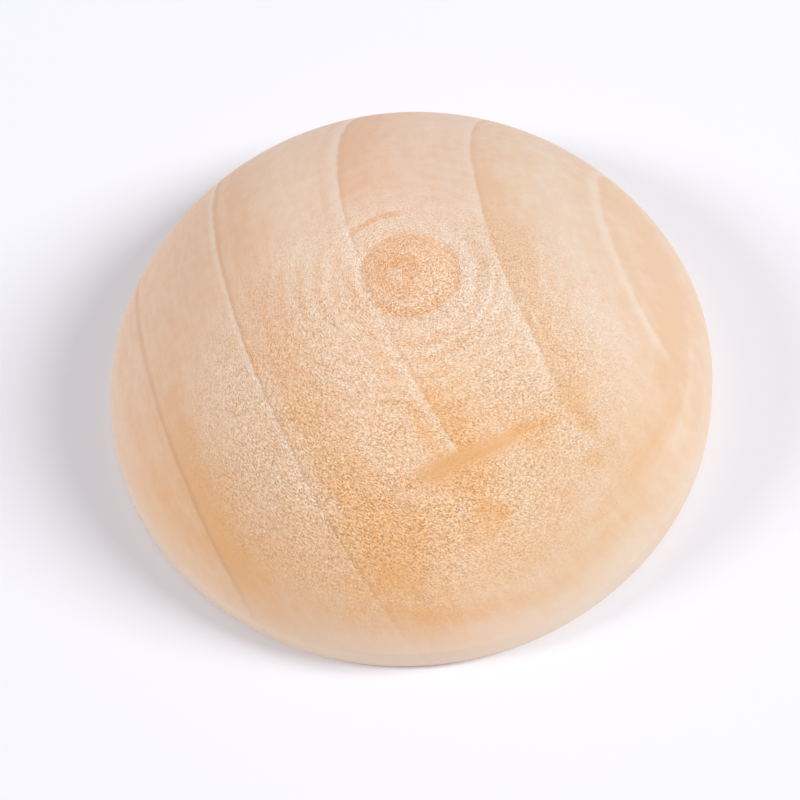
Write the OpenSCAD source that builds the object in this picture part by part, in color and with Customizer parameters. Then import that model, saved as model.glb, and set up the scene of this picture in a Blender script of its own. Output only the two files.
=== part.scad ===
// Half wooden bead: a turned dome on a flat back that is glued down.
// Millimetres, +Z up. The origin is the centre of the flat back.

/* [Bead] */
// Diameter across the rim
bead_d = 20; // [16:0.5:40]
// Height from the flat back to the crown
bead_h = 8.25; // [4:0.25:10]

/* [Rim] */
// Height of the upright band between the flat back and the dome
rim_h = 1.15; // [0.5:0.05:1.5]
// Rounding of the edge around the flat back
edge_r = 0.35; // [0.1:0.05:0.5]

/* [Crown mark] */
// Lean of the turning axis from square to the flat back, in degrees
crown_lean = 2; // [0:0.5:6]
// Radius of the shallow step that the turning tool left around the crown
step_r = 2.5; // [2:0.1:4]
// Depth of that step
step_depth = 0.04; // [0.02:0.01:0.15]
// Radius of the turned ring inside the step, at the middle of its groove
ring_r = 1.5; // [1:0.05:1.8]
// Width of the ring's groove
ring_w = 0.4; // [0.2:0.05:0.6]
// Depth of the ring's groove
ring_depth = 0.04; // [0.02:0.01:0.1]
// Width of the dimple at the turning centre
dimple_d = 0.7; // [0.4:0.05:1.2]
// Depth of the dimple
dimple_depth = 0.05; // [0.02:0.01:0.15]

/* [Hidden] */
$fn = 144;
overrun = 1;

bead_r = bead_d / 2;
// The blank is taller than the bead by the step that is cut at its crown
blank_h = bead_h + step_depth;
cap_h = blank_h - rim_h;
// The dome is the cap of a ball that meets the top of the rim band
dome_r = (bead_r * bead_r + cap_h * cap_h) / (2 * cap_h);
dome_z = blank_h - dome_r;
floor_r = dome_r - step_depth;

// Radius of a round cutter that leaves a groove of this width and depth
function cutter_r(width, depth) = (width * width / 4 + depth * depth) / (2 * depth);

// Half section of the turned blank: flat back, rounded edge, rim band, dome
module bead_section() {
  difference() {
    intersection() {
      translate([0, dome_z]) circle(r = dome_r);
      square([bead_r, blank_h + overrun]);
    }
    translate([bead_r - edge_r, 0]) square(edge_r);
  }
  translate([bead_r - edge_r, edge_r]) circle(r = edge_r);
}

// Shallow step around the crown, with a floor that follows the dome
module crown_step() {
  difference() {
    cylinder(r = step_r, h = dome_r + overrun);
    sphere(r = floor_r);
  }
}

// Turned ring inside the step
module crown_ring() {
  groove_r = cutter_r(ring_w, ring_depth);
  reach = floor_r - ring_depth + groove_r;
  ring_angle = asin(ring_r / floor_r);
  rotate_extrude()
    translate([reach * sin(ring_angle), reach * cos(ring_angle)])
      circle(r = groove_r);
}

// Dimple at the turning centre
module crown_dimple() {
  ball_r = cutter_r(dimple_d, dimple_depth);
  translate([0, 0, floor_r - dimple_depth + ball_r]) sphere(r = ball_r);
}

// The bead as one piece of wood
module half_bead() {
  color([0.92, 0.79, 0.65])
    difference() {
      rotate_extrude() bead_section();
      translate([0, 0, dome_z]) rotate([0, crown_lean, 0]) {
        crown_step();
        crown_ring();
        crown_dimple();
      }
    }
}

half_bead();
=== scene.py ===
from math import cos, pi, radians, sin, sqrt, tan

import bpy
from mathutils import Matrix, Vector


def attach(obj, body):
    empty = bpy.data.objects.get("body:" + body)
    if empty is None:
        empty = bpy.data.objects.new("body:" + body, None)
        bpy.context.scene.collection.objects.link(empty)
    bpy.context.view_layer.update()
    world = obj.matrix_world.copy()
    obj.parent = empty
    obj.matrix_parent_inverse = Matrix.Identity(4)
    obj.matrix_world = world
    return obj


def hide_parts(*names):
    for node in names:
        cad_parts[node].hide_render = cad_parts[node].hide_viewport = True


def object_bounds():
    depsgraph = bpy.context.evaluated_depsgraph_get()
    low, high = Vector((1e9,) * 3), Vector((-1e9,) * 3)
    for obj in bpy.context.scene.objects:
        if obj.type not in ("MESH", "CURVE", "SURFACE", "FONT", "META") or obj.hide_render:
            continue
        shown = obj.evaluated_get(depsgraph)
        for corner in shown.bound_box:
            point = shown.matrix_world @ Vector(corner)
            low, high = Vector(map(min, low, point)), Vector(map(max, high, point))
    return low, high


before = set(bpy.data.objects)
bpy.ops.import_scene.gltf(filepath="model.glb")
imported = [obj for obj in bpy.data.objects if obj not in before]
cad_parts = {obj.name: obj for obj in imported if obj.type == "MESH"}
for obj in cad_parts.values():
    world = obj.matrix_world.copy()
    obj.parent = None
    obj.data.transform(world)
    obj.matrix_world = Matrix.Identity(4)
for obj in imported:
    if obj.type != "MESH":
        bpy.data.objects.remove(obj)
cadLow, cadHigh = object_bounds()
mm = 0.001
rimRadius = (cadHigh.x - cadLow.x) / 2
crownHeight = cadHigh.z - cadLow.z
print("frame loaded, bead", round(rimRadius * 2 / mm, 2), "mm across")


# Small helpers for node trees

number = "NodeSocketFloat"
point = "NodeSocketVector"


class Wire:  # a socket that can be used in sums, each sum adding a Math node
    def __init__(self, tree, socket):
        self.tree = tree
        self.socket = socket

    def __add__(self, other):
        return calc(self.tree, "ADD", self, other)

    def __sub__(self, other):
        return calc(self.tree, "SUBTRACT", self, other)

    def __rsub__(self, other):
        return calc(self.tree, "SUBTRACT", other, self)

    def __mul__(self, other):
        return calc(self.tree, "MULTIPLY", self, other)

    def __truediv__(self, other):
        return calc(self.tree, "DIVIDE", self, other)


def plug(tree, value, slot):
    if isinstance(value, Wire):
        value = value.socket
    if isinstance(value, bpy.types.NodeSocket):
        tree.links.new(value, slot)
    else:
        slot.default_value = value


def place(tree, kind, inputs=None, **settings):
    node = tree.nodes.new(kind)
    for name, value in settings.items():
        setattr(node, name, value)
    for name, value in (inputs or {}).items():
        plug(tree, value, node.inputs[name])
    return node


def calc(tree, operation, *values):
    node = place(tree, "ShaderNodeMath", operation=operation)
    for slot, value in zip(node.inputs, values):
        plug(tree, value, slot)
    return Wire(tree, node.outputs[0])


def vector(tree, operation, *values):
    node = place(tree, "ShaderNodeVectorMath", operation=operation)
    slots = list(node.inputs[:3])
    if operation == "SCALE":
        slots[1] = node.inputs["Scale"]
    for slot, value in zip(slots, values):
        plug(tree, value, slot)
    single = operation in ("DOT_PRODUCT", "DISTANCE")
    return Wire(tree, node.outputs["Value" if single else "Vector"])


def splitAxes(tree, where):  # X, Y and Z of a place
    split = place(tree, "ShaderNodeSeparateXYZ", {0: where})
    return [Wire(tree, socket) for socket in split.outputs]


def joinAxes(tree, **parts):
    return Wire(tree, place(tree, "ShaderNodeCombineXYZ", parts).outputs[0])


def turnedAxes(tree, where, angle):  # X, Y and Z of a place after a turn about Y
    turned = place(tree, "ShaderNodeVectorRotate", {"Vector": where, "Angle": angle},
                   rotation_type="Y_AXIS")
    return splitAxes(tree, turned.outputs[0])


def planLength(tree, x, y):
    return calc(tree, "SQRT", x * x + y * y)


def ease(tree, value, low, high, start=0.0, end=1.0):  # smooth ramp from start to end
    span = {"Value": value, "From Min": low, "From Max": high, "To Min": start, "To Max": end}
    node = place(tree, "ShaderNodeMapRange", span, interpolation_type="SMOOTHSTEP")
    return Wire(tree, node.outputs[0])


def between(tree, value, rise, fall):  # 1 between two soft ends
    return ease(tree, value, *rise) * ease(tree, value, *fall)


def limit(tree, value):  # keep a share between 0 and 1
    return calc(tree, "MINIMUM", calc(tree, "MAXIMUM", value, 0.0), 1.0)


def noise(tree, where, scale, detail, roughness=0.5):
    node = place(tree, "ShaderNodeTexNoise", {"Vector": where, "Scale": scale, "Detail": detail,
                                              "Roughness": roughness})
    return Wire(tree, node.outputs[0])


def sway(tree, where, scale, detail, size):  # noise about zero
    return (noise(tree, where, scale, detail) - 0.5) * size


def mixColour(tree, share, under, over, blend="MIX"):
    node = place(tree, "ShaderNodeMix", data_type="RGBA", blend_type=blend)
    plug(tree, share, node.inputs[0])
    plug(tree, under, node.inputs[6])
    plug(tree, over, node.inputs[7])
    return Wire(tree, node.outputs[2])


def tone(red, green, blue):  # a colour as it shows on screen, 0 to 255
    def linear(level):
        share = level / 255
        return share / 12.92 if share <= 0.04045 else ((share + 0.055) / 1.055) ** 2.4
    return linear(red), linear(green), linear(blue), 1.0


def newGroup(name, kind, inputs, outputs):  # inputs: name to (socket type, default)
    tree = bpy.data.node_groups.new(name, kind)
    for label, (socketType, value) in inputs.items():
        socket = tree.interface.new_socket(label, in_out="INPUT", socket_type=socketType)
        if value is not None:
            socket.default_value = value
    for label, socketType in outputs.items():
        tree.interface.new_socket(label, in_out="OUTPUT", socket_type=socketType)
    source = place(tree, "NodeGroupInput")
    sink = place(tree, "NodeGroupOutput")
    wires = {label: Wire(tree, source.outputs[label]) for label in inputs}
    return tree, wires, sink


def useGroup(tree, group, **inputs):
    node = place(tree, "ShaderNodeGroup", node_tree=group)
    for name, value in inputs.items():
        plug(tree, value, node.inputs[name])
    return node


# Camera at the photograph's angle

cameraView = {
    "elevation": radians(62.7),
    "roll": radians(8.0),
    "distance": 12.0,             # in rim radii
    "rimPixels": 299.0,           # the rim radius in the picture
    "basePixel": (411.9, 393.0),  # where the middle of the flat back falls
    "imageSide": 800,
}


def cameraAxes(view):  # right, up and back
    back = Vector((0, -cos(view["elevation"]), sin(view["elevation"])))
    across = Vector((1, 0, 0))
    up = back.cross(across)
    right = across * cos(view["roll"]) - up * sin(view["roll"])
    above = across * sin(view["roll"]) + up * cos(view["roll"])
    return right, above, back


def pixelOffset(view, pixel):  # from the middle of the picture, in pixels
    right, above, back = cameraAxes(view)
    half = view["imageSide"] / 2
    return right * (pixel[0] - half) + above * (half - pixel[1])


def eyePlace(view):
    back = cameraAxes(view)[2]
    pixelSize = rimRadius / view["rimPixels"]
    return back * view["distance"] * rimRadius - pixelOffset(view, view["basePixel"]) * pixelSize


def makeCamera(view):
    data = bpy.data.cameras.new("camera")
    data.lens = data.sensor_width * view["rimPixels"] * view["distance"] / view["imageSide"]
    data.clip_start = rimRadius
    camera = bpy.data.objects.new("camera", data)
    bpy.context.scene.collection.objects.link(camera)
    turn = Matrix(cameraAxes(view)).transposed().to_4x4()
    camera.matrix_world = Matrix.Translation(eyePlace(view)) @ turn
    bpy.context.scene.camera = camera


makeCamera(cameraView)
print("camera set")


# The turned dome: a square grid wrapped over the section, ring by ring

bead = {
    "rings": 150,               # rows of faces from the crown to the flat back
    "rimHeight": 1.15 * mm,
    "edgeRound": 0.35 * mm,
    "crownLean": radians(2.0),  # the turning axis against the flat back
    "stepRadius": 2.5 * mm,
    "stepDepth": 0.04 * mm,
    "stepBlend": 0.05 * mm,     # half the width of the step's slope
    "ringRadius": 1.5 * mm,
    "ringWidth": 0.4 * mm,
    "ringDepth": 0.04 * mm,
    "dimpleWidth": 0.7 * mm,
    "dimpleDepth": 0.05 * mm,
    "toolPitch": 0.42 * mm,
    "toolDepth": 0.003 * mm,
    "toolNoise": (0.35, 1.0),   # scale per mm, detail
    "toolSway": 2.0,            # in tool pitches
    "sandingWaves": 0.02 * mm,
    "sandingNoise": (0.22, 1.0),
    "smoothFrom": 0.8,          # tool marks and waves fade out between these shares of the rim radius
    "smoothTo": 0.96,
    "weldGap": 0.001 * mm,
    "backFacing": -0.9999,      # a face that points further down is the flat back
    "seed": 4.0,
}
capHeight = crownHeight + bead["stepDepth"] - bead["rimHeight"]
ballRadius = (rimRadius ** 2 + capHeight ** 2) / (2 * capHeight)
ballMiddle = crownHeight + bead["stepDepth"] - ballRadius


def buildDomeTree():
    sizes = {"Rim Radius": rimRadius, "Ball Radius": ballRadius, "Ball Middle": ballMiddle,
             "Rim Height": bead["rimHeight"], "Edge Round": bead["edgeRound"],
             "Crown Lean": bead["crownLean"], "Step Radius": bead["stepRadius"],
             "Step Depth": bead["stepDepth"], "Ring Radius": bead["ringRadius"],
             "Ring Width": bead["ringWidth"], "Ring Depth": bead["ringDepth"],
             "Dimple Width": bead["dimpleWidth"], "Dimple Depth": bead["dimpleDepth"],
             "Tool Pitch": bead["toolPitch"], "Tool Depth": bead["toolDepth"],
             "Sanding Waves": bead["sandingWaves"], "Seed": bead["seed"]}
    inputs = {"Rings": ("NodeSocketInt", bead["rings"])}
    inputs.update({name: (number, value) for name, value in sizes.items()})
    inputs["Dome Wood"] = ("NodeSocketMaterial", None)
    inputs["Back Wood"] = ("NodeSocketMaterial", None)
    tree, given, sink = newGroup("turnedDome", "GeometryNodeTree", inputs,
                                 {"Geometry": "NodeSocketGeometry"})

    # flat grid, its squares pulled round into rings
    points = given["Rings"] * 2.0 + 1.0
    grid = place(tree, "GeometryNodeMeshGrid", {"Size X": 2.0, "Size Y": 2.0,
                                                "Vertices X": points, "Vertices Y": points})
    gridX, gridY, gridZ = splitAxes(tree, place(tree, "GeometryNodeInputPosition").outputs[0])
    sideways = calc(tree, "GREATER_THAN", calc(tree, "ABSOLUTE", gridX), calc(tree, "ABSOLUTE", gridY))
    major = gridX * sideways + gridY * (1.0 - sideways)
    reach = calc(tree, "ABSOLUTE", major)
    minor = gridY * sideways + gridX * (1.0 - sideways)
    turn = minor / major * (pi / 4)
    along = calc(tree, "COSINE", turn) * major
    aside = calc(tree, "SINE", turn) * major
    discX = along * sideways + aside * (1.0 - sideways)
    discY = aside * sideways + along * (1.0 - sideways)

    # distance along the section: dome, rim band, rounded edge
    domeAngle = calc(tree, "ARCSINE", given["Rim Radius"] / given["Ball Radius"])
    domeRun = domeAngle * given["Ball Radius"]
    bandRun = given["Rim Height"] - given["Edge Round"]
    run = reach * (domeRun + bandRun + given["Edge Round"] * (pi / 2))
    tilt = calc(tree, "MINIMUM", run, domeRun) / given["Ball Radius"]
    drop = calc(tree, "MINIMUM", calc(tree, "MAXIMUM", run - domeRun, 0.0), bandRun)
    curl = calc(tree, "MAXIMUM", run - domeRun - bandRun, 0.0) / given["Edge Round"]
    radius = (calc(tree, "SINE", tilt) * given["Ball Radius"]
              - given["Edge Round"] * (1.0 - calc(tree, "COSINE", curl)))
    height = (calc(tree, "COSINE", tilt) * given["Ball Radius"] + given["Ball Middle"]
              - drop - calc(tree, "SINE", curl) * given["Edge Round"])
    onSection = joinAxes(tree, X=discX / reach * radius, Y=discY / reach * radius, Z=height)
    plain = place(tree, "GeometryNodeSetPosition", {"Geometry": grid.outputs["Mesh"],
                                                    "Position": onSection})

    # turning marks, measured from the leaning axis
    here = place(tree, "GeometryNodeInputPosition").outputs[0]
    fromBall = vector(tree, "SUBTRACT", here, joinAxes(tree, Z=given["Ball Middle"]))
    leanX, leanY, leanZ = turnedAxes(tree, fromBall, 0.0 - given["Crown Lean"])
    axisReach = planLength(tree, leanX, leanY)

    def scoop(distance, halfWidth, depth):  # round-bottomed groove
        share = distance / halfWidth
        return calc(tree, "MAXIMUM", 1.0 - share * share, 0.0) * depth

    step = ease(tree, axisReach, given["Step Radius"] - bead["stepBlend"],
                given["Step Radius"] + bead["stepBlend"], 1.0, 0.0)
    ring = scoop(axisReach - given["Ring Radius"], given["Ring Width"] * 0.5, given["Ring Depth"])
    dimple = scoop(axisReach, given["Dimple Width"] * 0.5, given["Dimple Depth"])
    seeded = vector(tree, "ADD", vector(tree, "SCALE", here, 1 / mm), joinAxes(tree, X=given["Seed"]))
    waver = noise(tree, seeded, *bead["toolNoise"]) * bead["toolSway"]
    turns = (axisReach / given["Tool Pitch"] + waver) * (2 * pi)
    tool = (calc(tree, "SINE", turns) + 1.0) * given["Tool Depth"] * 0.5
    waves = noise(tree, seeded, *bead["sandingNoise"]) * given["Sanding Waves"]
    hereX, hereY, hereZ = splitAxes(tree, here)
    inside = ease(tree, planLength(tree, hereX, hereY), given["Rim Radius"] * bead["smoothFrom"],
                  given["Rim Radius"] * bead["smoothTo"], 1.0, 0.0)
    depth = (tool + waves) * inside + step * given["Step Depth"] + ring + dimple
    normal = place(tree, "GeometryNodeInputNormal").outputs[0]
    marked = place(tree, "GeometryNodeSetPosition", {"Geometry": plain.outputs[0],
                                                     "Offset": vector(tree, "SCALE", normal, 0.0 - depth)})

    # flat back, filled across the last ring
    neighbours = place(tree, "GeometryNodeInputMeshEdgeNeighbors").outputs[0]
    openEdge = place(tree, "FunctionNodeCompare", {"A": neighbours, "B": 1}, data_type="INT",
                     operation="EQUAL")
    loop = place(tree, "GeometryNodeMeshToCurve", {"Mesh": marked.outputs[0],
                                                   "Selection": openEdge.outputs[0]})
    back = place(tree, "GeometryNodeFillCurve", {"Curve": loop.outputs[0]}, mode="NGONS")
    flipped = place(tree, "GeometryNodeFlipFaces", {"Mesh": back.outputs[0]})
    joined = place(tree, "GeometryNodeJoinGeometry")
    tree.links.new(marked.outputs[0], joined.inputs[0])
    tree.links.new(flipped.outputs[0], joined.inputs[0])
    closed = place(tree, "GeometryNodeMergeByDistance", {"Geometry": joined.outputs[0],
                                                         "Distance": bead["weldGap"]})
    smooth = place(tree, "GeometryNodeSetShadeSmooth", {"Geometry": closed.outputs[0]})
    real = place(tree, "GeometryNodeRealizeInstances", {"Geometry": smooth.outputs[0]})

    faceX, faceY, faceZ = splitAxes(tree, place(tree, "GeometryNodeInputNormal").outputs[0])
    isBack = calc(tree, "LESS_THAN", faceZ, bead["backFacing"])
    domeWood = place(tree, "GeometryNodeSetMaterial", {"Geometry": real.outputs[0],
                                                       "Material": given["Dome Wood"]})
    backWood = place(tree, "GeometryNodeSetMaterial", {"Geometry": domeWood.outputs[0],
                                                       "Selection": isBack,
                                                       "Material": given["Back Wood"]})
    plug(tree, backWood.outputs[0], sink.inputs["Geometry"])
    return tree


def makeBead(domeWood, backWood):
    tree = buildDomeTree()
    carrier = bpy.data.objects.new("carrier", bpy.data.meshes.new("carrier"))
    bpy.context.scene.collection.objects.link(carrier)
    modifier = carrier.modifiers.new("turnedDome", "NODES")
    modifier.node_group = tree
    for item in tree.interface.items_tree:
        if item.in_out == "INPUT" and item.socket_type == "NodeSocketMaterial":
            modifier[item.identifier] = domeWood if item.name == "Dome Wood" else backWood
        elif item.in_out == "INPUT":
            modifier[item.identifier] = item.default_value
    depsgraph = bpy.context.evaluated_depsgraph_get()
    mesh = bpy.data.meshes.new_from_object(carrier.evaluated_get(depsgraph))
    mesh.name = "turnedBead"
    carrier.modifiers.clear()
    bpy.data.objects.remove(carrier)
    piece = bpy.data.objects.new("turned_bead", mesh)
    bpy.context.scene.collection.objects.link(piece)
    return piece


# Wood figure in rim radii, shared by the dome and the flat back

figure = {
    "level": 0.025,  # height above the flat back that the figure is measured from
    "startTan": 0.72,
    "planes": {  # direction square to each growth line's layer
        "first": (0.940, 0.176, 0.294),
        "second": (0.920, 0.196, 0.339),
        "third": (0.867, 0.192, 0.461),
        "fourth": (0.911, 0.159, 0.379),
        "fifth": (0.917, 0.167, 0.362),
    },
    "layers": {  # place of each edge, tan just past it and a run further on, pale and dark side of its line
        "first": {"Plane": "first", "Offset": -0.682,
                  "Early": 1.0, "Late": 0.34, "Run": 0.26, "Pale": 0.0, "Dark": 0.50},
        "second": {"Plane": "second", "Offset": -0.258,
                   "Early": 0.90, "Late": 0.50, "Run": 0.10, "Pale": 0.42, "Dark": 0.38},
        "secondBand": {"Plane": "second", "Offset": -0.205, "Soft": 0.014,
                       "Early": 0.72, "Late": 0.36, "Run": 0.23, "Pale": 0.0, "Dark": 0.0},
        "secondEcho": {"Plane": "third", "Offset": 0.222,
                       "Early": 0.60, "Late": 0.25, "Run": 0.04, "Pale": 0.0, "Dark": 0.0},
        "third": {"Plane": "third", "Offset": 0.282,
                  "Early": 0.85, "Late": 0.46, "Run": 0.25, "Pale": 0.42, "Dark": 0.18},
        "fourth": {"Plane": "fourth", "Offset": 0.587,
                   "Early": 0.95, "Late": 0.48, "Run": 0.20, "Pale": 0.28, "Dark": 0.22},
        "strip": {"Plane": "fifth", "Offset": 0.809, "Soft": 0.030,
                  "Early": 0.70, "Late": 0.70, "Run": 0.10, "Pale": 0.0, "Dark": 0.0},
        "fifth": {"Plane": "fifth", "Offset": 0.862, "Soft": 0.004,
                  "Early": 0.80, "Late": 0.88, "Run": 0.12, "Pale": 0.34, "Dark": 0.05},
    },
    "paleFrom": -0.025,  # the pale side of a line lies before its edge, the dark side past it
    "paleTo": -0.007,
    "darkFrom": 0.003,
    "darkTo": 0.014,
    "slowWaver": (4.0, 1.0, 0.012),  # noise: scale, detail, size
    "quickWaver": (30.0, 2.0, 0.010),
    # paler colours for the painted sheen towards the rear, fuller ones in front
    "sheenPale": tone(246, 221, 198),
    "sheenTan": tone(237, 194, 157),
    "lowPale": tone(245, 210, 176),
    "lowTan": tone(242, 184, 124),
    "lineColour": tone(249, 232, 214),
    "edgeColour": tone(214, 165, 122),
}


def buildGrowthLayer():
    inputs = {"Vector": (point, None), "Normal": (point, (1.0, 0.0, 0.0))}
    for name in ("Tan", "Line", "Offset", "Waver", "Early", "Late", "Run", "Pale", "Dark", "Soft"):
        inputs[name] = (number, 0.0)
    inputs["Share"] = (number, 1.0)
    tree, given, sink = newGroup("growthLayer", "ShaderNodeTree", inputs,
                                 {"Tan": number, "Line": number})
    along = vector(tree, "DOT_PRODUCT", given["Vector"], given["Normal"])
    past = along - given["Offset"] + given["Waver"]
    soft = given["Soft"]
    after = ease(tree, past, 0.0 - soft, soft)
    fade = ease(tree, past, 0.0, given["Run"])
    ownTan = given["Early"] + (given["Late"] - given["Early"]) * fade
    before = ease(tree, past, figure["paleFrom"] - soft, figure["paleTo"])
    pale = before * (1.0 - after) * given["Pale"]
    beyond = ease(tree, past, figure["darkFrom"], soft * 2.0 + figure["darkTo"], 1.0, 0.0)
    dark = beyond * after * given["Dark"]
    share = after * given["Share"]
    plug(tree, given["Tan"] * (1.0 - share) + ownTan * share, sink.inputs["Tan"])
    plug(tree, given["Line"] + (pale - dark) * given["Share"], sink.inputs["Line"])
    return tree


growthLayer = buildGrowthLayer()


def startWood(name):
    material = bpy.data.materials.new(name)
    material.use_nodes = True
    tree = material.node_tree
    here = place(tree, "ShaderNodeTexCoord").outputs["Object"]
    inRadii = vector(tree, "SCALE", here, 1 / rimRadius)
    spot = vector(tree, "SUBTRACT", inRadii, (0.0, 0.0, figure["level"]))
    return material, tree, spot, tree.nodes["Principled BSDF"]


def layWood(tree, spot, soft, changes):  # tan share and signed line strength of the growth layers
    waver = sway(tree, spot, *figure["slowWaver"]) + sway(tree, spot, *figure["quickWaver"])
    tanShare = figure["startTan"]
    line = 0.0
    for name, layer in figure["layers"].items():
        own = {"Soft": soft, **layer, **changes.get(name, {})}
        own["Normal"] = figure["planes"][own.pop("Plane")]
        node = useGroup(tree, growthLayer, Vector=spot, Waver=waver, Tan=tanShare, Line=line, **own)
        tanShare = Wire(tree, node.outputs["Tan"])
        line = Wire(tree, node.outputs["Line"])
    return tanShare, line


# high is the share of the paler colours that paint the sheen
def colourWood(tree, tanShare, line, high):
    pale = mixColour(tree, high, figure["lowPale"], figure["sheenPale"])
    brown = mixColour(tree, high, figure["lowTan"], figure["sheenTan"])
    wood = mixColour(tree, limit(tree, tanShare), pale, brown)
    wood = mixColour(tree, limit(tree, line), wood, figure["lineColour"])
    return mixColour(tree, limit(tree, 0.0 - line), wood, figure["edgeColour"])


def addBump(tree, shader, relief, settings):
    bump = place(tree, "ShaderNodeBump", {"Height": relief, "Strength": settings["bumpStrength"],
                                          "Distance": settings["bumpDepth"]})
    plug(tree, bump.outputs[0], shader.inputs["Normal"])


# Pores: fine light and dark along the fibre, and scratches along the turning; the colour they give is
# partly painted light and shade of the fine relief

speckle = {
    "fibre": (-0.327, -0.066, 0.943),
    "pitch": 200.0,           # to a rim radius
    "stretch": 3.0,           # length of a pore against its width
    "detail": 1.5,
    "roughness": 0.6,
    "gain": 0.7,              # contrast of the finest noise
    "swirlGain": 0.5,         # added where the scratches take over
    "windingPitch": 0.65,     # pits and glints, as a share of the pitch
    "windingDetail": 1.0,
    "windingWidth": 0.06,
    "pit": 0.27,
    "glint": 0.16,
    "darkest": 0.2,           # the grain runs from 0 here to 1 a span above
    "span": 0.6,
    "mottlePitch": 0.14,
    "mottleDetail": 2.0,
    "middle": 0.46,           # grain that leaves the wood as it is
    # multipliers at both ends of the grain, partly painted shade and light of the fine relief
    "dark": (0.678, 0.531, 0.379, 1.0),
    "light": (1.378, 1.551, 1.729, 1.0),
}


def buildPoreSpeckle():
    tree, given, sink = newGroup("poreSpeckle", "ShaderNodeTree",
                                 {"Vector": (point, None), "Fibre": (point, (0.0, 0.0, 1.0)),
                                  "Turned": (point, None), "Swirl": (number, 0.0),
                                  "Pitch": (number, 100.0), "Stretch": (number, 3.0)},
                                 {"Grain": number, "Mottle": number})
    along = vector(tree, "DOT_PRODUCT", given["Vector"], given["Fibre"])
    shorten = along * (calc(tree, "DIVIDE", 1.0, given["Stretch"]) - 1.0)
    drawn = vector(tree, "ADD", given["Vector"], vector(tree, "SCALE", given["Fibre"], shorten))
    pore = noise(tree, drawn, given["Pitch"], speckle["detail"], speckle["roughness"])
    scratch = noise(tree, given["Turned"], given["Pitch"], speckle["detail"], speckle["roughness"])
    swirl = given["Swirl"]
    fine = pore + (scratch - pore) * swirl - 0.5
    fine = fine * (swirl * speckle["swirlGain"] + speckle["gain"]) + 0.5

    def thread(where, size):  # thin winding lines where a noise passes its middle
        pitch = given["Pitch"] * speckle["windingPitch"]
        off = calc(tree, "ABSOLUTE", noise(tree, where, pitch, speckle["windingDetail"]) - 0.5)
        return ease(tree, off, 0.0, speckle["windingWidth"], size, 0.0)

    grain = fine - thread(drawn, speckle["pit"]) + thread(given["Turned"], speckle["glint"])
    grain = (grain - speckle["darkest"]) / speckle["span"]
    plug(tree, limit(tree, grain), sink.inputs["Grain"])
    mottle = noise(tree, drawn, given["Pitch"] * speckle["mottlePitch"], speckle["mottleDetail"])
    plug(tree, mottle - 0.5, sink.inputs["Mottle"])
    return tree


poreSpeckle = buildPoreSpeckle()


def findPores(tree, spot, **turning):
    return useGroup(tree, poreSpeckle, Vector=spot, Fibre=speckle["fibre"], Pitch=speckle["pitch"],
                    Stretch=speckle["stretch"], **turning)


def showPores(tree, pores, wood, strength):  # lighter and darker by the grain: the pores' colour, and partly painted light and shade of the fine relief
    grain = Wire(tree, pores.outputs["Grain"])
    share = (grain - speckle["middle"]) * strength + speckle["middle"]
    shade = mixColour(tree, limit(tree, share), speckle["dark"], speckle["light"])
    return mixColour(tree, 1.0, wood, shade, "MULTIPLY")


print("wood figure ready")


# Streak that the tool burnished, and the stain that runs on at both its ends

streak = {
    "along": (0.951, 0.309, 0.0),
    "across": (-0.309, 0.951, 0.0),
    "offset": 0.595,
    "colour": tone(229, 171, 110),
    "roughness": 0.45,
    "wideRagged": (8.0, 1.0, 0.010),  # noise: scale, detail, size
    "fineRagged": (30.0, 2.0, 0.016),
    "upperEdge": (-0.08, 0.03, 0.034, 0.021),  # ramp: two places, then the values there
    "lowerEdge": (0.05, 0.13, -0.023, -0.016),
    "upperFade": (-0.018, 0.014, 1.0, 0.0),
    "lowerFade": (-0.022, 0.016),  # with no values, a ramp runs from 0 to 1
    "bodyEnds": ((-0.27, -0.13), (0.15, 0.11)),
    "stainMiddle": 0.012,
    "stainFade": (0.006, 0.020, 1.0, 0.0),
    "rightStain": ((0.10, 0.14), (0.33, 0.24)),
    "leftStain": ((-0.34, -0.26), (-0.16, -0.24)),
    "leftShare": 0.5,
    "stainShare": 0.7,
    "brushAlong": 6.0,
    "brushAcross": 70.0,
    "brushNoise": (1.0, 2.0),
    "sheen": (0.35, 0.65, 0.68, 0.88),
    "poresClosed": 0.8,
}


def drawStreak(tree, at):
    along = at["along"]
    ragged = sway(tree, at["spot"], *streak["fineRagged"]) + sway(tree, at["spot"], *streak["wideRagged"])
    aside = at["across"] + ragged
    over = ease(tree, aside - ease(tree, along, *streak["upperEdge"]), *streak["upperFade"])
    under = ease(tree, aside - ease(tree, along, *streak["lowerEdge"]), *streak["lowerFade"])
    body = over * under * between(tree, along, *streak["bodyEnds"])
    off = calc(tree, "ABSOLUTE", aside - streak["stainMiddle"])
    ends = (between(tree, along, *streak["rightStain"])
            + between(tree, along, *streak["leftStain"]) * streak["leftShare"])
    return body, ease(tree, off, *streak["stainFade"]) * ends


def burnish(tree, at, wood, body, stain):
    brushed = joinAxes(tree, X=at["along"] * streak["brushAlong"], Y=at["across"] * streak["brushAcross"])
    sheen = ease(tree, noise(tree, brushed, *streak["brushNoise"]), *streak["sheen"])
    return mixColour(tree, body * sheen + stain * streak["stainShare"], wood, streak["colour"])


# Dome: growth layers, stains, turning marks at the crown, pores, and painted light and shade

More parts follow.
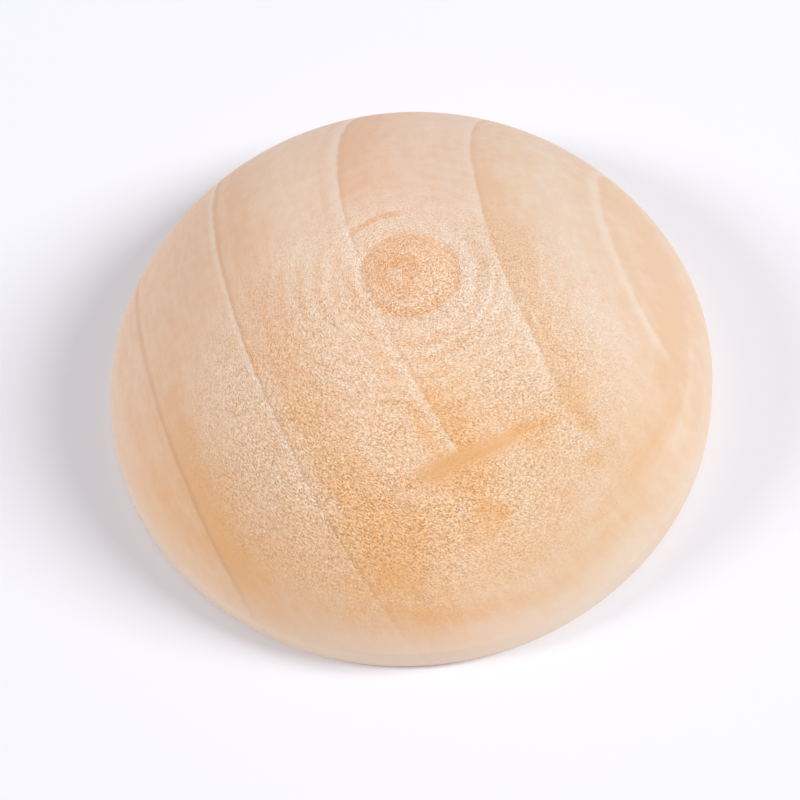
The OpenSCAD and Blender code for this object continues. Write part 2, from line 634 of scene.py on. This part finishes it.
dome = {
    "alongLayers": {  # how a layer's inputs change from the front to the rear, as ramps that add up
        "first": {"Early": [(-0.35, -0.05, 1.0, 0.75)],
                  "Late": [(-0.25, 0.12, 0.34, 0.70), (-0.55, -0.75, 0.0, 0.15)]},
        "second": {"Early": [(-0.36, -0.14, 0.42, 0.90), (-0.60, -0.75, 0.0, 0.25)],
                   "Pale": [(-0.85, -0.45, 0.08, 0.42)],
                   "Dark": [(-0.95, -0.75, 0.08, 0.38)]},
        "secondBand": {"Early": [(-0.35, -0.12, 0.72, 0.92)]},
        "third": {"Early": [(0.24, 0.42, 0.45, 1.0), (-0.28, -0.44, 0.0, 0.40)],
                  "Pale": [(0.0, 0.2, 0.22, 0.34), (-0.25, -0.40, 0.0, 0.06)]},
        "fourth": {"Share": [(-0.62, -0.36, 0.20, 1.0)],
                   "Soft": [(-0.50, -0.22, 0.024, 0.004)],
                   "Early": [(-0.42, -0.20, 0.75, 0.95), (0.25, 0.45, 0.0, -0.15)],
                   "Pale": [(-0.45, -0.25, 0.10, 0.28)]},
        "fifth": {"Share": [(-0.26, -0.15)]},
    },
    "secondBandLate": (-0.06, 0.10, 0.38, 0.36),  # across the streak
    "aboveStreak": (0.0, 0.03),
    "lineSoft": (0.35, 0.60, 0.008, 0.003),
    "clearTowards": (0.0, -0.41, 0.912),  # where lines and pores are sharpest
    "onTop": (0.3, 0.4),  # height above which the turning marks show
    "reachSway": (12.0, 2.0, 0.018),  # noise: scale, detail, size

    "stains": {  # pixel of the picture where it shows, size, share
        "besideLeft": ((489, 506), 0.050, 0.60),
        "besideRight": ((503, 511), 0.040, 0.45),
        "besideUnder": ((487, 528), 0.10, 0.35),
        "streakUnder": ((471, 475), 0.13, 0.50),
        "secondUpper": ((296, 398), 0.13, 0.06),
        "secondTop": ((332, 283), 0.15, 0.15),
        "thirdLeft": ((366, 310), 0.10, 0.20),
        "secondLower": ((350, 480), 0.14, 0.06),
        "thirdLower": ((436, 418), 0.10, 0.45),
        "fourthTop": ((485, 185), 0.08, 0.4),
        "fourthMiddle": ((506, 251), 0.14, 0.45),
        "fourthEnd": ((572, 397), 0.070, 0.50),
        "fourthChain": ((588, 420), 0.060, 0.45),
        "fourthTip": ((594, 459), 0.055, 0.45),
        "tailEnd": ((536, 432), 0.100, 0.38),
        "firstPatch": ((176, 397), 0.060, 0.35),
        "firstUnder": ((187, 436), 0.070, 0.30),
        "firstLower": ((190, 480), 0.100, 0.25),
        "underStreak": ((400, 541), 0.22, 0.36),
    },
    "stainRagged": (18.0, 3.0, 1.2),
    "stainCore": 0.1,  # a stain fades out between these shares of its size
    "stainEdge": 1.2,

    "scratchSquash": 0.55,  # scratches and lathe streaks are drawn out along the turning
    "latheSquash": 0.06,
    "swirl": (0.02, 0.10, 0.30, 0.55),
    "mottleShare": 0.6,
    "cloud": (5.0, 3.0, 0.4),
    "scratchCloud": (40.0, 2.0, 0.3),
    "latheNoise": (26.0, 2.0),
    "nearRim": (0.45, 0.25),
    "nearFront": (0.1, -0.3),
    "layered": (0.917, 0.180, 0.355),  # clouds are thin in this direction
    "layerSquash": 3.5,
    "layerCloud": (9.0, 3.0, 0.6),
    "ringPitch": 0.053,
    "ringNoise": (3.0, 1.0),
    "ringSway": 1.5,  # in ring pitches
    "ringReach": ((0.14, 0.22), (0.65, 0.30)),
    "ringShare": (0.05, 0.20, 0.16, 0.064),
    "rimTanHeight": ((0.24, 0.30), (0.44, 0.36)),
    "rimTanRight": (0.45, 0.70),
    "rimTanShare": 0.20,

    "rightRise": (0.25, 0.85, 0.0, 0.18),  # painted sheen: colours turn paler from the front to the rear and to the right
    "sheenSway": (3.0, 1.0, 0.3),
    "high": (-0.75, 0.18),
    # painted light from the white floor on the band near the rim, weaker on the right
    "rimBounceLight": (0.27, 0.11, 0.0, 0.45),
    "rimBounceLower": (0.14, 0.07, 0.0, 0.30),
    "rimBounceRight": (0.55, 0.85, 1.0, 0.6),
    "rimBounceColour": tone(246, 225, 205),
    "behind": (0.0, 0.4),
    "behindWidth": ((-0.40, -0.10), (0.45, 0.20)),
    "topShade": (0.955, 0.945, 0.965, 1.0),
    # painted shade that tones down the right side, where the key lamp is strongest
    "rightLift": 0.3,
    "rightward": (0.1, 0.75),
    "rightShade": (0.87, 0.93, 0.975, 1.0),

    "disc": (0.139, 0.165, 0.62, 0.0),
    "discEdge": (-0.004, 0.004),
    "darkLines": {  # radius, width, from and to angle in degrees, share
        "discUnder": (0.146, 0.020, -165, -25, 0.38),
        "discRight": (0.160, 0.010, -45, 40, 0.55),
        "discLeft": (0.140, 0.014, 140, 210, 0.28),
        # painted shade on the upper wall of the step
        "stepWallShade": (0.232, 0.018, 84, 136, 0.46),
        "stepRight": (0.262, 0.010, 38, 64, 0.25),
        "stepUnder": (0.242, 0.010, -110, -60, 0.20),
        # painted shade on the upper wall of the centre dimple
        "centre": (0.052, 0.014, 40, 150, 0.45),
        "discTop": (0.115, 0.040, 30, 160, 0.22),
        "outerDash": (0.420, 0.010, -112, -92, 0.45),
        "outerFaint": (0.450, 0.012, -160, -112, 0.20),
    },
    "paleLines": {
        "discPale": (0.106, 0.020, -150, 10, 0.15),
        "stepPale": (0.190, 0.030, -180, 180, 0.14),
        "stepEdge": (0.268, 0.012, -62, 8, 0.45),
        "stepLeft": (0.265, 0.014, 120, 200, 0.20),
    },
    "lineCore": 0.2,  # share of a line's width, and of its arc, that has its full strength
    "arcCore": 0.6,
    "centreSpots": {  # middle, size, share, colour
        "blob": ((-0.006, 0.002, 0.80), 0.105, 0.44, "markColour"),
        # pale dot: painted light on the floor of the centre dimple
        "dot": ((0.000, -0.014, 0.80), 0.036, 0.40, "paleColour"),
    },
    "centreRagged": (30.0, 2.0, 0.03),
    "centreCore": 0.4,
    "markColour": tone(229, 168, 112),
    "discColour": tone(243, 193, 149),
    "paleColour": tone(246, 226, 205),

    "poresClear": (0.48, 0.78, 0.06, 1.04),
    "patchNoise": (7.0, 2.0),
    "patchy": (0.3, 0.7, 0.8, 1.2),
    "rightRear": (0.76, 0.71, 0.0),
    "poresFront": (-0.19, -1.06, 1.0, 2.1),  # along rightRear
    "poresLow": (0.11, 0.56, 0.2, 1.0),
    "poresCrown": (0.20, 0.14, 1.0, 1.35),
    "roughness": 0.55,
    "bumpStrength": 0.6,
    "bumpDepth": 0.02 * mm,
}


def domePlace(view, pixel):  # place on the dome, in rim radii, that shows at a pixel of the picture
    back = cameraAxes(view)[2]
    eye = eyePlace(view)
    ray = pixelOffset(view, pixel) - back * view["rimPixels"] * view["distance"]
    ray.normalize()
    toBall = Vector((0, 0, ballMiddle)) - eye
    nearest = toBall.dot(ray)
    inside = sqrt(ballRadius ** 2 - toBall.length_squared + nearest ** 2)
    return (eye + ray * (nearest - inside)) / rimRadius - Vector((0, 0, figure["level"]))


def buildTintSpot():  # soft round patch, added to the patches before it
    tree, given, sink = newGroup("tintSpot", "ShaderNodeTree",
                                 {"Vector": (point, None), "Middle": (point, (0.0, 0.0, 0.0)),
                                  "Ragged": (number, 0.0), "Size": (number, 0.1),
                                  "Share": (number, 0.5), "Before": (number, 0.0)},
                                 {"Tint": number})
    size = given["Size"]
    away = vector(tree, "DISTANCE", given["Vector"], given["Middle"]) + given["Ragged"] * size
    spot = ease(tree, away, size * dome["stainCore"], size * dome["stainEdge"], 1.0, 0.0)
    plug(tree, given["Before"] + spot * given["Share"], sink.inputs["Tint"])
    return tree


def buildTurnedLine():  # thin line around the turning axis, left by the tool; a few are painted shade on the step and dimple walls
    tree, given, sink = newGroup("turnedLine", "ShaderNodeTree",
                                 {"Reach": (number, 0.0), "Angle": (number, 0.0),
                                  "Radius": (number, 0.2), "Width": (number, 0.01),
                                  "From": (number, 0.0), "To": (number, 2 * pi),
                                  "Share": (number, 0.5), "Before": (number, 0.0)},
                                 {"Tint": number})
    off = calc(tree, "ABSOLUTE", given["Reach"] - given["Radius"])
    line = ease(tree, off, given["Width"] * dome["lineCore"], given["Width"], 1.0, 0.0)
    middle = (given["From"] + given["To"]) * 0.5
    half = (given["To"] - given["From"]) * 0.5
    turned = calc(tree, "WRAP", given["Angle"] - middle, pi, -pi)
    arc = ease(tree, calc(tree, "ABSOLUTE", turned), half * dome["arcCore"], half, 1.0, 0.0)
    plug(tree, given["Before"] + line * arc * given["Share"], sink.inputs["Tint"])
    return tree


tintSpot = buildTintSpot()
turnedLine = buildTurnedLine()


def locate(tree, spot):  # what the dome's features are measured by
    x, y, z = splitAxes(tree, spot)
    ballSpot = vector(tree, "SUBTRACT", spot, (0.0, 0.0, ballMiddle / rimRadius - figure["level"]))
    leanX, leanY, leanZ = turnedAxes(tree, ballSpot, -bead["crownLean"])
    return {
        "spot": spot, "x": x, "y": y, "z": z, "leanY": leanY,
        "reach": planLength(tree, leanX, leanY) + sway(tree, spot, *dome["reachSway"]),
        "angle": calc(tree, "ARCTAN2", leanY, leanX),
        "along": vector(tree, "DOT_PRODUCT", spot, streak["along"]),
        "across": vector(tree, "DOT_PRODUCT", spot, streak["across"]) + streak["offset"],
        "clear": vector(tree, "DOT_PRODUCT", spot, dome["clearTowards"]),
        "onTop": ease(tree, z, *dome["onTop"]),
    }


def layDome(tree, at):  # growth layers, of which the third and its echo end at the streak
    def alongY(ramps):
        first, *rest = [ease(tree, at["y"], *ramp) for ramp in ramps]
        return sum(rest, first)

    changes = {name: {label: alongY(ramps) for label, ramps in inputs.items()}
               for name, inputs in dome["alongLayers"].items()}
    aboveStreak = ease(tree, at["across"], *dome["aboveStreak"])
    changes["secondEcho"] = {"Share": aboveStreak}
    changes["third"]["Share"] = aboveStreak
    changes["secondBand"]["Late"] = ease(tree, at["across"], *dome["secondBandLate"])
    return layWood(tree, at["spot"], ease(tree, at["clear"], *dome["lineSoft"]), changes)


def stainDome(tree, spot):
    ragged = sway(tree, spot, *dome["stainRagged"])
    tint = 0.0
    for pixel, size, share in dome["stains"].values():
        node = useGroup(tree, tintSpot, Vector=spot, Middle=domePlace(cameraView, pixel),
                        Ragged=ragged, Size=size, Share=share, Before=tint)
        tint = Wire(tree, node.outputs["Tint"])
    return tint


def cloudDome(tree, at, turned):  # uneven tan in clouds, scratches, lathe streaks, layers and rings
    spot = at["spot"]
    reach = at["reach"]
    cloud = sway(tree, spot, *dome["cloud"]) + sway(tree, turned, *dome["scratchCloud"])
    lathe = joinAxes(tree, X=reach * at["angle"] * dome["latheSquash"], Y=reach)
    nearRim = ease(tree, at["z"], *dome["nearRim"]) * ease(tree, at["y"], *dome["nearFront"])
    cloud = cloud + sway(tree, lathe, *dome["latheNoise"], nearRim)
    depth = vector(tree, "DOT_PRODUCT", spot, dome["layered"]) * dome["layerSquash"]
    stacked = vector(tree, "ADD", spot, vector(tree, "SCALE", dome["layered"], depth))
    cloud = cloud + sway(tree, stacked, *dome["layerCloud"])
    waver = noise(tree, spot, *dome["ringNoise"]) * dome["ringSway"]
    rings = calc(tree, "SINE", (reach / dome["ringPitch"] + waver) * (2 * pi))
    rings = rings * between(tree, reach, *dome["ringReach"]) * at["onTop"]
    cloud = cloud + rings * ease(tree, at["leanY"], *dome["ringShare"])
    rimTan = between(tree, at["z"], *dome["rimTanHeight"]) * ease(tree, at["x"], *dome["rimTanRight"])
    return cloud + rimTan * dome["rimTanShare"]


def shadeDome(tree, at, wood):  # painted light from the white floor near the rim, darker behind the crown, painted shade to the right
    # painted light from the white floor on the band near the rim
    rimBounceShare = ease(tree, at["z"], *dome["rimBounceLight"]) + ease(tree, at["z"], *dome["rimBounceLower"])
    wood = mixColour(tree, rimBounceShare * ease(tree, at["x"], *dome["rimBounceRight"]), wood, dome["rimBounceColour"])
    behind = ease(tree, at["y"], *dome["behind"]) * between(tree, at["x"], *dome["behindWidth"])
    wood = mixColour(tree, behind, wood, dome["topShade"], "MULTIPLY")
    # painted shade that tones down the right side, where the key lamp is strongest
    rightward = ease(tree, at["x"] + at["z"] * dome["rightLift"], *dome["rightward"])
    return mixColour(tree, rightward, wood, dome["rightShade"], "MULTIPLY")


def drawTurned(tree, at, lines):
    tint = 0.0
    for radius, width, start, stop, share in lines.values():
        node = useGroup(tree, turnedLine, Reach=at["reach"], Angle=at["angle"], Radius=radius, Width=width,
                        From=radians(start), To=radians(stop), Share=share, Before=tint)
        tint = Wire(tree, node.outputs["Tint"])
    return limit(tree, tint) * at["onTop"]


def markCrown(tree, at, wood):  # disc past the third line, turned lines, painted shade and light at the step and the turning centre
    third = figure["layers"]["third"]
    past = vector(tree, "DOT_PRODUCT", at["spot"], figure["planes"][third["Plane"]]) - third["Offset"]
    disc = ease(tree, at["reach"], *dome["disc"]) * ease(tree, past, *dome["discEdge"])
    wood = mixColour(tree, disc * at["onTop"], wood, dome["discColour"])
    wood = mixColour(tree, drawTurned(tree, at, dome["darkLines"]), wood, dome["markColour"])
    wood = mixColour(tree, drawTurned(tree, at, dome["paleLines"]), wood, dome["paleColour"])
    ragged = sway(tree, at["spot"], *dome["centreRagged"])
    for middle, size, share, colour in dome["centreSpots"].values():
        away = vector(tree, "DISTANCE", at["spot"], middle) + ragged
        share = ease(tree, away, size * dome["centreCore"], size, share, 0.0)
        wood = mixColour(tree, share, wood, dome[colour])
    return wood


def poreStrength(tree, at, body):  # clearest on the crown and in front
    patchy = ease(tree, noise(tree, at["spot"], *dome["patchNoise"]), *dome["patchy"])
    strength = ease(tree, at["clear"], *dome["poresClear"]) * (1.0 - body * streak["poresClosed"]) * patchy
    rearward = vector(tree, "DOT_PRODUCT", at["spot"], dome["rightRear"])
    strength = strength * ease(tree, rearward, *dome["poresFront"])
    return strength * ease(tree, at["z"], *dome["poresLow"]) * ease(tree, at["reach"], *dome["poresCrown"])


def makeDomeWood():
    material, tree, spot, shader = startWood("turnedWood")
    at = locate(tree, spot)
    turned = joinAxes(tree, X=at["reach"] * at["angle"] * dome["scratchSquash"], Y=at["reach"])
    pores = findPores(tree, spot, Turned=turned, Swirl=ease(tree, at["reach"], *dome["swirl"]))
    tanShare, line = layDome(tree, at)
    tanShare = tanShare + stainDome(tree, spot) + cloudDome(tree, at, turned)
    tanShare = tanShare + Wire(tree, pores.outputs["Mottle"]) * dome["mottleShare"]
    # painted sheen, rising towards the rear and the right
    rise = at["y"] + ease(tree, at["x"], *dome["rightRise"]) + sway(tree, spot, *dome["sheenSway"])
    wood = colourWood(tree, tanShare, line, ease(tree, rise, *dome["high"]))
    wood = shadeDome(tree, at, wood)
    wood = markCrown(tree, at, wood)
    body, stain = drawStreak(tree, at)
    wood = burnish(tree, at, wood, body, stain)
    strength = poreStrength(tree, at, body)
    plug(tree, showPores(tree, pores, wood, strength), shader.inputs["Base Color"])
    roughness = ease(tree, body, 0.0, 1.0, dome["roughness"], streak["roughness"])
    plug(tree, roughness, shader.inputs["Roughness"])
    addBump(tree, shader, Wire(tree, pores.outputs["Grain"]) * strength, dome)
    return material


# Flat back: the same layers, sawn across

sawnBack = {
    "lineSoft": 0.006,
    "lineShare": 0.6,
    "cloud": (5.0, 3.0, 0.6),
    # share of the paler colours that paint the sheen on the dome
    "high": 0.45,
    "sawNoise": (55.0, 2.0),
    "sawSquash": 0.03,  # saw marks are drawn out along X
    "sawShift": 3.0,
    "sawWaver": (2.5, 1.0),
    "waverSize": 0.05,
    "scored": (0.55, 0.35, 0.0, 0.30),
    "poreStrength": 0.7,
    "poreRelief": 0.3,
    "roughness": 0.75,
    "bumpStrength": 0.5,
    "bumpDepth": 0.03 * mm,
}


def makeBackWood():
    material, tree, spot, shader = startWood("sawnWood")
    tanShare, line = layWood(tree, spot, sawnBack["lineSoft"], {})
    tanShare = tanShare + sway(tree, spot, *sawnBack["cloud"])
    wood = colourWood(tree, tanShare, line * sawnBack["lineShare"], sawnBack["high"])
    x, y, z = splitAxes(tree, spot)
    waver = noise(tree, spot, *sawnBack["sawWaver"]) * sawnBack["waverSize"]
    drawn = joinAxes(tree, X=x * sawnBack["sawSquash"] + sawnBack["sawShift"], Y=y + waver)
    saw = noise(tree, drawn, *sawnBack["sawNoise"])
    wood = mixColour(tree, ease(tree, saw, *sawnBack["scored"]), wood, figure["edgeColour"])
    pores = findPores(tree, spot)
    wood = showPores(tree, pores, wood, sawnBack["poreStrength"])
    plug(tree, wood, shader.inputs["Base Color"])
    shader.inputs["Roughness"].default_value = sawnBack["roughness"]
    relief = saw + Wire(tree, pores.outputs["Grain"]) * sawnBack["poreRelief"]
    addBump(tree, shader, relief, sawnBack)
    return material


turnedBead = makeBead(makeDomeWood(), makeBackWood())
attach(turnedBead, "root")
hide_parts("half_bead")
print("bead made,", len(turnedBead.data.polygons), "faces")


# White floor and two soft lights

stage = {
    "floorSide": 4.0,
    "floorColour": tone(247, 248, 254),
    "floorRoughness": 0.9,
    "floorSheen": 0.0,
    "ambient": 0.40,
    "ambientColour": (1.0, 0.97, 1.0, 1.0),
    "lampDistance": 0.6,
    "lamps": {  # azimuth from +X, elevation, half angle, share of the floor's light
        "rightLamp": (radians(-8.5), radians(41), radians(12.2), 0.450),
        "leftLamp": (radians(179.6), radians(39), radians(8.1), 0.190),
    },
}


def makeFloor():
    side = stage["floorSide"] / 2
    corners = [(-side, -side, 0), (side, -side, 0), (side, side, 0), (-side, side, 0)]
    mesh = bpy.data.meshes.new("floor")
    mesh.from_pydata(corners, [], [(0, 1, 2, 3)])
    floor = bpy.data.objects.new("floor", mesh)
    bpy.context.scene.collection.objects.link(floor)
    white = bpy.data.materials.new("whiteSheet")
    white.use_nodes = True
    shader = white.node_tree.nodes["Principled BSDF"]
    shader.inputs["Base Color"].default_value = stage["floorColour"]
    shader.inputs["Roughness"].default_value = stage["floorRoughness"]
    shader.inputs["Specular IOR Level"].default_value = stage["floorSheen"]
    mesh.materials.append(white)


def makeLamp(name, azimuth, elevation, halfAngle, share):
    distance = stage["lampDistance"]
    data = bpy.data.lights.new(name, "AREA")
    data.shape = "DISK"
    data.size = 2 * distance * tan(halfAngle)
    data.energy = share * pi ** 2 * distance ** 2 / sin(elevation)
    lamp = bpy.data.objects.new(name, data)
    bpy.context.scene.collection.objects.link(lamp)
    level = cos(elevation)
    towards = Vector((cos(azimuth) * level, sin(azimuth) * level, sin(elevation)))
    lamp.location = towards * distance
    lamp.rotation_mode = "QUATERNION"
    lamp.rotation_quaternion = towards.to_track_quat("Z", "Y")
    lamp.visible_camera = False


def makeSky():  # dim for the light it gives, white where it is seen
    world = bpy.data.worlds.new("studio")
    bpy.context.scene.world = world
    world.use_nodes = True
    tree = world.node_tree
    glow = tree.nodes["Background"]
    glow.inputs["Color"].default_value = stage["ambientColour"]
    rays = place(tree, "ShaderNodeLightPath").outputs
    mirrored = calc(tree, "MAXIMUM", rays["Is Glossy Ray"], rays["Is Transmission Ray"])
    seen = calc(tree, "MAXIMUM", rays["Is Camera Ray"], mirrored)
    plug(tree, ease(tree, seen, 0.0, 1.0, stage["ambient"], 1.0), glow.inputs["Strength"])


makeFloor()
for lampName, lampSettings in stage["lamps"].items():
    makeLamp(lampName, *lampSettings)
makeSky()
bpy.context.scene.view_settings.view_transform = "Standard"
print("stage set")
